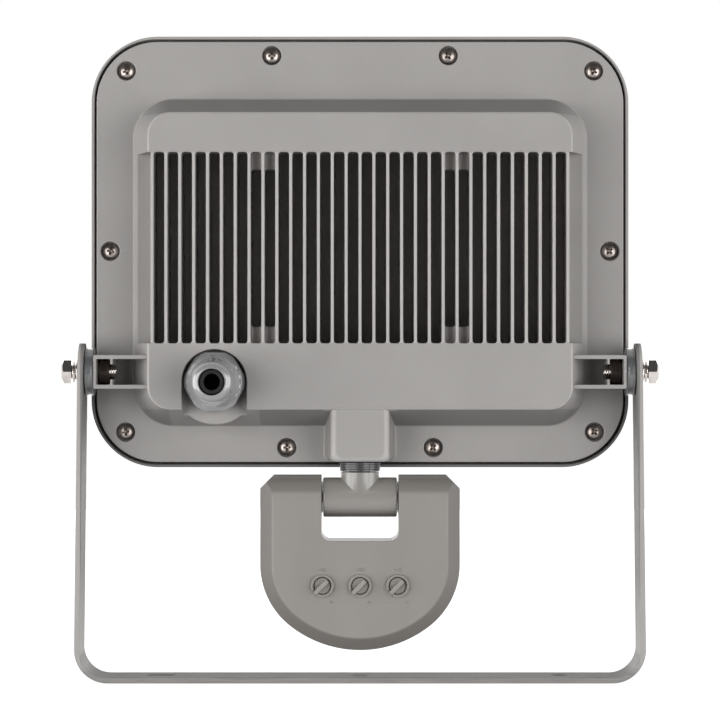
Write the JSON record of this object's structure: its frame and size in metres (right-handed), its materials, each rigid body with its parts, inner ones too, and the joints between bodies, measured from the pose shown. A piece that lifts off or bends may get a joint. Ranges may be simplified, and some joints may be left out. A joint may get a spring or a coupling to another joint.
{
  "type": "led floodlight with motion sensor",
  "caption": "Slim finned grey floodlight in a U-shaped strap bracket, with a cable gland and a motion sensor head that turns and tilts on a knuckle below.",
  "frame": {"origin": "centre of the underside of the bracket's foot, where the middle fixing hole comes out", "axes": "+Z from the foot up through the pivot axis, +Y the way the fins face, -Y the way the glass faces, +X along the pivot"},
  "size_m": [0.2622, 0.0727, 0.2848],
  "materials": {
    "housing_paint": "fine grey powder coat",
    "bracket_paint": "grey powder coat on steel",
    "window_glass": "clear toughened glass",
    "black_rubber": "matte",
    "reflector_white": "white gloss",
    "board_white": "white solder mask",
    "screw_steel": "bright stainless",
    "stainless_steel": "bright stainless",
    "spacer_plastic": "satin blue grey",
    "dark_plastic": "black",
    "terminal_plastic": "off white",
    "gland_plastic": "satin grey nylon",
    "collar_plastic": "dark grey",
    "sensor_plastic": "satin warm grey",
    "lens_plastic": "milky translucent",
    "board_green": "green solder mask",
    "can_steel": "plain can",
    "knob_plastic": "satin warm grey"
  },
  "bodies": {
    "bracket": {"mounting_bracket": "bracket_paint"},
    "lamp": {"rear_housing": "housing_paint", "front_frame": "housing_paint", "glass_panel": "window_glass", "glass_gasket": "black_rubber", "housing_gasket": "black_rubber", "reflector": "reflector_white", "led_board": "board_white", "led_board_screw_1": "screw_steel", "led_board_screw_2": "screw_steel", "led_board_screw_3": "screw_steel", "led_board_screw_4": "screw_steel", "driver_module": "dark_plastic", "terminal_block": "terminal_plastic", "housing_screw_01": "screw_steel", "housing_screw_02": "screw_steel", "housing_screw_03": "screw_steel", "housing_screw_04": "screw_steel", "housing_screw_05": "screw_steel", "housing_screw_06": "screw_steel", "housing_screw_07": "screw_steel", "housing_screw_08": "screw_steel", "housing_screw_09": "screw_steel", "housing_screw_10": "screw_steel", "gland_body": "gland_plastic", "gland_cap": "gland_plastic", "gland_seal": "black_rubber", "gland_o_ring": "black_rubber", "boss_collar": "collar_plastic", "pivot_bolt_left": "stainless_steel", "pivot_bolt_right": "stainless_steel", "pivot_nut_left": "stainless_steel", "pivot_nut_right": "stainless_steel", "spring_washer_left": "stainless_steel", "spring_washer_right": "stainless_steel", "plain_washer_left": "stainless_steel", "plain_washer_right": "stainless_steel", "pivot_spacer_left": "spacer_plastic", "pivot_spacer_right": "spacer_plastic"},
    "sensor_arm": {"tee_knuckle": "sensor_plastic", "tee_nut": "stainless_steel", "hinge_washer_left": "spacer_plastic", "hinge_washer_right": "spacer_plastic"},
    "sensor_head": {"sensor_rear_shell": "sensor_plastic", "sensor_front_shell": "sensor_plastic", "pir_lens": "lens_plastic", "sensor_board": "board_green", "pir_element": "can_steel", "potentiometer_left": "dark_plastic", "potentiometer_middle": "dark_plastic", "potentiometer_right": "dark_plastic", "hinge_pin_left": "stainless_steel", "hinge_pin_right": "stainless_steel"},
    "knob_left": {"adjusting_knob_left": "knob_plastic"},
    "knob_middle": {"adjusting_knob_middle": "knob_plastic"},
    "knob_right": {"adjusting_knob_right": "knob_plastic"}
  },
  "joints": [
    {"name": "lamp_tilt", "type": "hinge", "parent": "bracket", "child": "lamp", "pos_m": [0, 0, 0.136], "axis": [1, 0, 0], "range_deg": [-170, 155]},
    {"name": "sensor_turn", "type": "hinge", "parent": "lamp", "child": "sensor_arm", "pos_m": [0, 0, 0.092], "axis": [0, 0, 1], "range_deg": [-90, 90]},
    {"name": "sensor_tilt", "type": "hinge", "parent": "sensor_arm", "child": "sensor_head", "pos_m": [0, 0, 0.0808], "axis": [1, 0, 0], "range_deg": [-45, 60]},
    {"name": "knob_left_turn", "type": "hinge", "parent": "sensor_head", "child": "knob_left", "pos_m": [0.0165, 0.0106, 0.0425], "axis": [0, -1, 0], "range_deg": [0, 270]},
    {"name": "knob_middle_turn", "type": "hinge", "parent": "sensor_head", "child": "knob_middle", "pos_m": [0, 0.0106, 0.0425], "axis": [0, -1, 0], "range_deg": [0, 270]},
    {"name": "knob_right_turn", "type": "hinge", "parent": "sensor_head", "child": "knob_right", "pos_m": [-0.0165, 0.0106, 0.0425], "axis": [0, -1, 0], "range_deg": [0, 270]}
  ]
}
